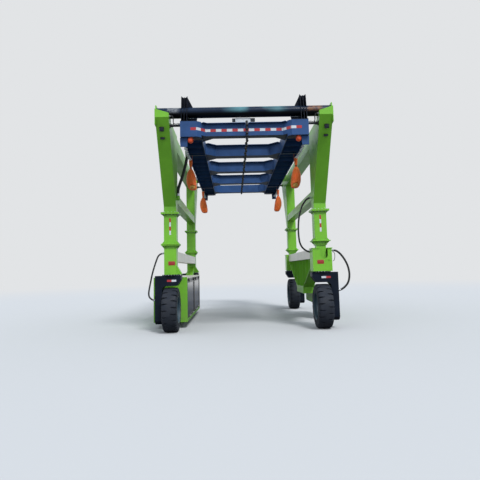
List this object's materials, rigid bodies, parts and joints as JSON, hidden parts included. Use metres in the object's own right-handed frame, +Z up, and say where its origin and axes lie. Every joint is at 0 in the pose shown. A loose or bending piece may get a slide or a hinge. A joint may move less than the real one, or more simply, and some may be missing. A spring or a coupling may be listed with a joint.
{
  "type": "container straddle carrier",
  "caption": "Straddle carrier with steered wheels in yokes, telescoping legs, leaning arms, cross tubes and a side-shifting chain spreader over an open bay.",
  "frame": {"origin": "on the ground, in the middle of the machine without its free hoses", "axes": "+X to the right of someone who looks at the front end, +Y towards the rear, +Z up; the front end faces -Y and the power enclosure is at -X"},
  "size_m": [5.0447, 8.64, 5.5748],
  "materials": {
    "lime_paint": "satin",
    "navy_paint": "satin",
    "slate_paint": "satin",
    "cream_paint": "satin",
    "white_paint": "satin",
    "tube_paint": "gloss",
    "frame_black": "satin",
    "cast_grey": "rough",
    "bright_steel": "polished",
    "galvanised": "dull",
    "rim_paint": "satin",
    "tyre": "rough",
    "hose_rubber": "satin",
    "tinted_glass": "clear",
    "lamp_black": "matte",
    "orange_fabric": "woven",
    "orange_plastic": "satin"
  },
  "bodies": {
    "side_frames": {"posts": "lime_paint", "left_legs": "lime_paint", "right_sockets": "lime_paint", "slew_rings": "navy_paint", "side_beams": "cream_paint", "right_girder": "lime_paint", "tank": "lime_paint", "enclosure_base": "lime_paint", "end_panels": "lime_paint", "enclosure_frame": "frame_black", "enclosure_roof": "cream_paint", "outer_panels": "lime_paint", "engine": "cast_grey", "hose_front_left": "hose_rubber", "hose_front_right": "hose_rubber"},
    "front_hatch": {"hatch_front": "frame_black", "pane_front": "tinted_glass"},
    "rear_hatch": {"hatch_rear": "frame_black", "pane_rear": "tinted_glass"},
    "lifting_frame": {"sleeves": "lime_paint", "arms": "lime_paint", "tie_beams": "lime_paint", "cross_tubes": "tube_paint", "shift_barrels": "frame_black", "lamps": "lamp_black", "lift_hose": "hose_rubber", "shift_hose": "hose_rubber"},
    "spreader": {"longitudinals": "slate_paint", "cross_members": "slate_paint", "hangers": "slate_paint", "shift_rods": "bright_steel", "corner_lugs": "slate_paint", "junction_box": "white_paint", "beacons": "orange_plastic", "hose_duct": "hose_rubber", "lift_chains": "galvanised", "chain_bags": "orange_fabric"},
    "yoke_front_left": {"yoke_front_left": "navy_paint"},
    "wheel_front_left": {"rim_front_left": "rim_paint", "tyre_front_left": "tyre"},
    "yoke_front_right": {"yoke_front_right": "navy_paint"},
    "wheel_front_right": {"rim_front_right": "rim_paint", "tyre_front_right": "tyre"},
    "yoke_rear_left": {"yoke_rear_left": "navy_paint"},
    "wheel_rear_left": {"rim_rear_left": "rim_paint", "tyre_rear_left": "tyre"},
    "yoke_rear_right": {"yoke_rear_right": "navy_paint"},
    "wheel_rear_right": {"rim_rear_right": "rim_paint", "tyre_rear_right": "tyre"}
  },
  "joints": [
    {"name": "lift", "type": "slide", "parent": "side_frames", "child": "lifting_frame", "axis": [0, 0, 1], "range_m": [0, 1.5], "deforming": ["lift_hose"]},
    {"name": "side_shift", "type": "slide", "parent": "lifting_frame", "child": "spreader", "axis": [1, 0, 0], "range_m": [-0.15, 0.15], "deforming": ["shift_hose"]},
    {"name": "front_hatch_hinge", "type": "hinge", "parent": "side_frames", "child": "front_hatch", "pos_m": [-1.545, -1.075, 1.243], "axis": [0, -1, 0], "range_deg": [0, 85]},
    {"name": "rear_hatch_hinge", "type": "hinge", "parent": "side_frames", "child": "rear_hatch", "pos_m": [-1.545, 1.075, 1.243], "axis": [0, -1, 0], "range_deg": [0, 85]},
    {"name": "steer_front_left", "type": "hinge", "parent": "side_frames", "child": "yoke_front_left", "pos_m": [-1.895, -2.86, 1.38], "axis": [0, 0, 1], "range_deg": [-90, 90], "deforming": ["hose_front_left"]},
    {"name": "wheel_spin_front_left", "type": "hinge", "parent": "yoke_front_left", "child": "wheel_front_left", "pos_m": [-1.895, -2.86, 0.545], "axis": [1, 0, 0], "continuous": true},
    {"name": "steer_front_right", "type": "hinge", "parent": "side_frames", "child": "yoke_front_right", "pos_m": [1.895, -2.86, 1.38], "axis": [0, 0, 1], "range_deg": [-90, 90], "deforming": ["hose_front_right"]},
    {"name": "wheel_spin_front_right", "type": "hinge", "parent": "yoke_front_right", "child": "wheel_front_right", "pos_m": [1.895, -2.86, 0.545], "axis": [1, 0, 0], "continuous": true},
    {"name": "steer_rear_left", "type": "hinge", "parent": "side_frames", "child": "yoke_rear_left", "pos_m": [-1.895, 2.86, 1.38], "axis": [0, 0, 1], "range_deg": [-90, 90]},
    {"name": "wheel_spin_rear_left", "type": "hinge", "parent": "yoke_rear_left", "child": "wheel_rear_left", "pos_m": [-1.895, 2.86, 0.545], "axis": [1, 0, 0], "continuous": true},
    {"name": "steer_rear_right", "type": "hinge", "parent": "side_frames", "child": "yoke_rear_right", "pos_m": [1.895, 2.86, 1.38], "axis": [0, 0, 1], "range_deg": [-90, 90]},
    {"name": "wheel_spin_rear_right", "type": "hinge", "parent": "yoke_rear_right", "child": "wheel_rear_right", "pos_m": [1.895, 2.86, 0.545], "axis": [1, 0, 0], "continuous": true}
  ]
}
